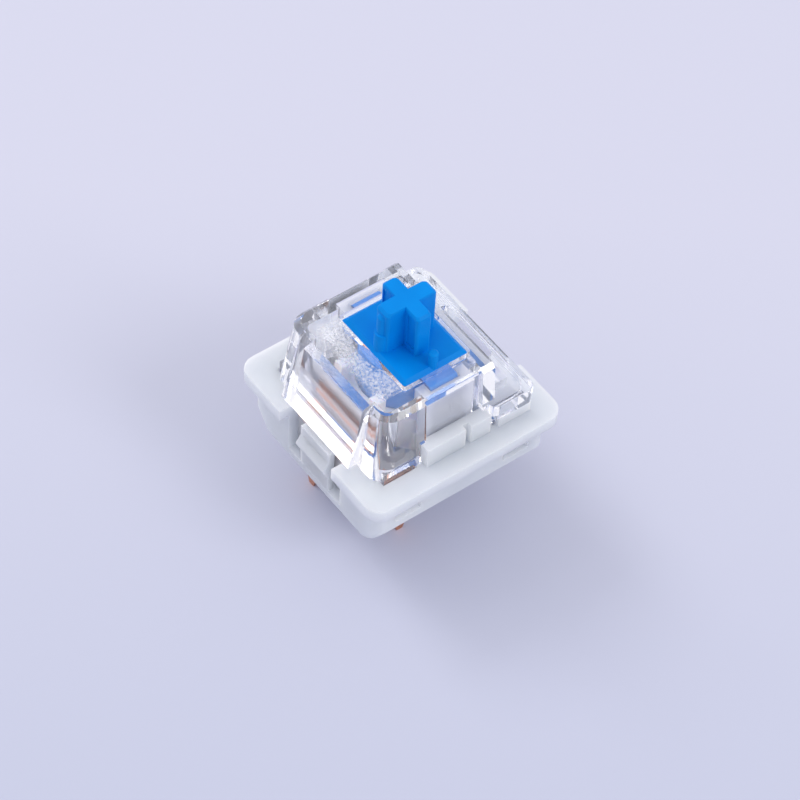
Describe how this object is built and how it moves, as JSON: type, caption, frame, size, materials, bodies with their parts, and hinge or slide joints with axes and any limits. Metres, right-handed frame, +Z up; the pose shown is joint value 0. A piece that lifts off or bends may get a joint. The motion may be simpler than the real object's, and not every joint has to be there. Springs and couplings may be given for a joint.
{
  "type": "mechanical keyboard switch",
  "caption": "Plate-mount key switch: clear clip-on cover, milky base with locating post, blue plunger with a keycap cross, clicking collar, coil spring and copper contacts.",
  "frame": {"origin": "under the middle of the switch, level with the tips of the pins and of the locating post; the board's face is 3.3 mm above it", "axes": "+Z up along the stem's travel, -Y towards the contacts and the sloped front panel, +Y towards the light slot"},
  "size_m": [0.0156, 0.0156, 0.0185],
  "materials": {
    "milky_nylon": "moulded, satin",
    "clear_polycarbonate": "moulded, clear",
    "blue_acetal": "moulded, satin",
    "white_acetal": "moulded, satin",
    "spring_steel": "drawn wire",
    "copper_alloy": "stamped, bright",
    "contact_gold": "drawn, bright"
  },
  "bodies": {
    "housing": {"lower_housing": "milky_nylon", "upper_housing": "clear_polycarbonate", "fixed_terminal": "copper_alloy", "fixed_contact_bar": "contact_gold", "leaf_terminal": "copper_alloy", "return_spring": "spring_steel"},
    "plunger": {"stem": "blue_acetal"},
    "jacket": {"click_jacket": "white_acetal"},
    "leaf": {"contact_leaf": "copper_alloy", "leaf_contact_bar": "contact_gold"}
  },
  "joints": [
    {"name": "stem_press", "type": "slide", "parent": "housing", "child": "plunger", "axis": [0, 0, -1], "range_m": [0, 0.004], "stiffness_N_per_m": 85, "springref_m": -0.0033, "deforming": ["return_spring"]},
    {"name": "jacket_slide", "type": "slide", "parent": "housing", "child": "jacket", "axis": [0, 0, -1], "range_m": [0, 0.003]},
    {"name": "leaf_flex", "type": "hinge", "parent": "housing", "child": "leaf", "pos_m": [0, -0.00529, 0.00475], "axis": [-1, 0, 0], "range_deg": [0, 3]}
  ],
  "couplings": [
    {"joint": "jacket_slide", "follows": "stem_press", "ratio": 0.75},
    {"joint": "leaf_flex", "follows": "stem_press", "rad_per_m": 13.08}
  ]
}
